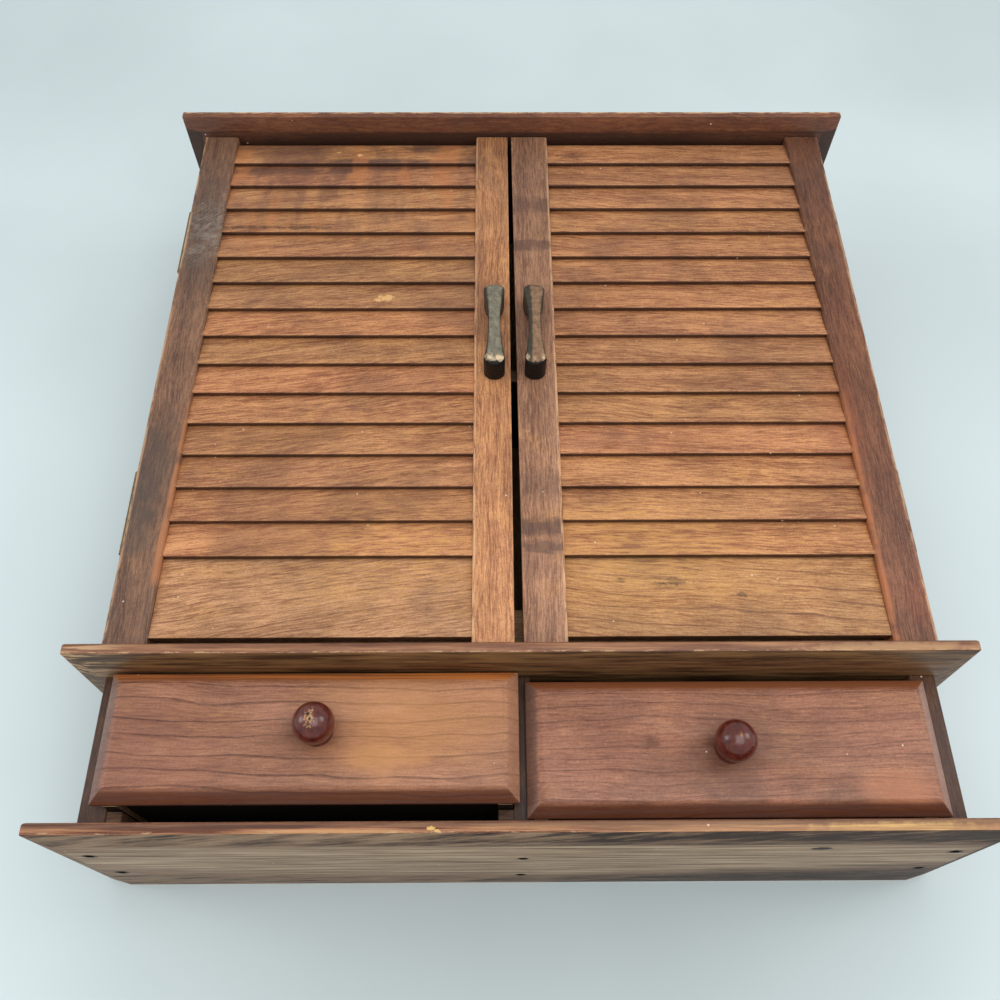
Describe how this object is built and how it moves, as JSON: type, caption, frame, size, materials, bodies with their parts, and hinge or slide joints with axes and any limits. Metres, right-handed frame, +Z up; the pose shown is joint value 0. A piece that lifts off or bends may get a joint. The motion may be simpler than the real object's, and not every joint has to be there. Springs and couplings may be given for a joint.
{
  "type": "spice cabinet",
  "caption": "Small stained wooden spice cabinet with louvred doors over small drawers, between moulded boards.",
  "frame": {"origin": "centre of the underside of the base board", "axes": "+Z up, the doors and drawers face -Y, +X to the right of someone who faces the cabinet"},
  "size_m": [0.33, 0.0979, 0.3517],
  "materials": {
    "board_wood": "stained satin pine with worn arrises",
    "case_wood": "dark stained satin pine",
    "inner_wood": "dark stained flat pine",
    "stile_wood": "stained satin pine",
    "slat_wood": "red-brown stained satin pine",
    "front_wood": "red-brown stained satin pine",
    "bare_wood": "unstained pine",
    "knob_wood": "dark red glossy lacquer",
    "pull_brass": "aged dark brass, bright on worn arrises",
    "brass": "dull brass",
    "steel": "dark plain steel"
  },
  "bodies": {
    "case": {"base_board": "board_wood", "waist_shelf": "board_wood", "top_board": "board_wood", "upper_side_left": "case_wood", "upper_side_right": "case_wood", "lower_side_left": "case_wood", "lower_side_right": "case_wood", "back_panel": "inner_wood", "drawer_divider": "case_wood", "drawer_runners_left": "inner_wood", "drawer_runners_right": "inner_wood", "jar_shelf": "inner_wood", "jar_rail": "inner_wood", "base_nails": "steel", "top_nails": "steel", "waist_nails": "steel", "side_nails": "steel", "back_brads": "steel", "case_hinge_screws": "brass", "case_leaf_upper_left": "brass", "case_leaf_upper_right": "brass", "case_leaf_lower_left": "brass", "case_leaf_lower_right": "brass", "hinge_pin_upper_left": "brass", "hinge_pin_upper_right": "brass", "hinge_pin_lower_left": "brass", "hinge_pin_lower_right": "brass"},
    "door_left": {"hinge_stile_left": "stile_wood", "meeting_stile_left": "stile_wood", "door_slats_left": "slat_wood", "foot_board_left": "slat_wood", "pull_left": "pull_brass", "pull_screws_left": "steel", "door_leaf_upper_left": "brass", "door_leaf_lower_left": "brass", "door_hinge_screws_left": "brass"},
    "door_right": {"hinge_stile_right": "stile_wood", "meeting_stile_right": "stile_wood", "door_slats_right": "slat_wood", "foot_board_right": "slat_wood", "pull_right": "pull_brass", "pull_screws_right": "steel", "door_leaf_upper_right": "brass", "door_leaf_lower_right": "brass", "door_hinge_screws_right": "brass"},
    "drawer_left": {"drawer_front_left": "front_wood", "drawer_sides_left": "bare_wood", "drawer_back_left": "bare_wood", "drawer_bottom_left": "bare_wood", "knob_left": "knob_wood", "knob_screw_left": "steel"},
    "drawer_right": {"drawer_front_right": "front_wood", "drawer_sides_right": "bare_wood", "drawer_back_right": "bare_wood", "drawer_bottom_right": "bare_wood", "knob_right": "knob_wood", "knob_screw_right": "steel"}
  },
  "joints": [
    {"name": "door_left_hinge", "type": "hinge", "parent": "case", "child": "door_left", "pos_m": [-0.1574, -0.02495, 0.2071], "axis": [0, 0, -1], "range_deg": [0, 180]},
    {"name": "door_right_hinge", "type": "hinge", "parent": "case", "child": "door_right", "pos_m": [0.1574, -0.02495, 0.2071], "axis": [0, 0, 1], "range_deg": [0, 180]},
    {"name": "drawer_left_slide", "type": "slide", "parent": "case", "child": "drawer_left", "axis": [0, -1, 0], "range_m": [-0.0052, 0.04]},
    {"name": "drawer_right_slide", "type": "slide", "parent": "case", "child": "drawer_right", "axis": [0, -1, 0], "range_m": [0, 0.045]}
  ]
}
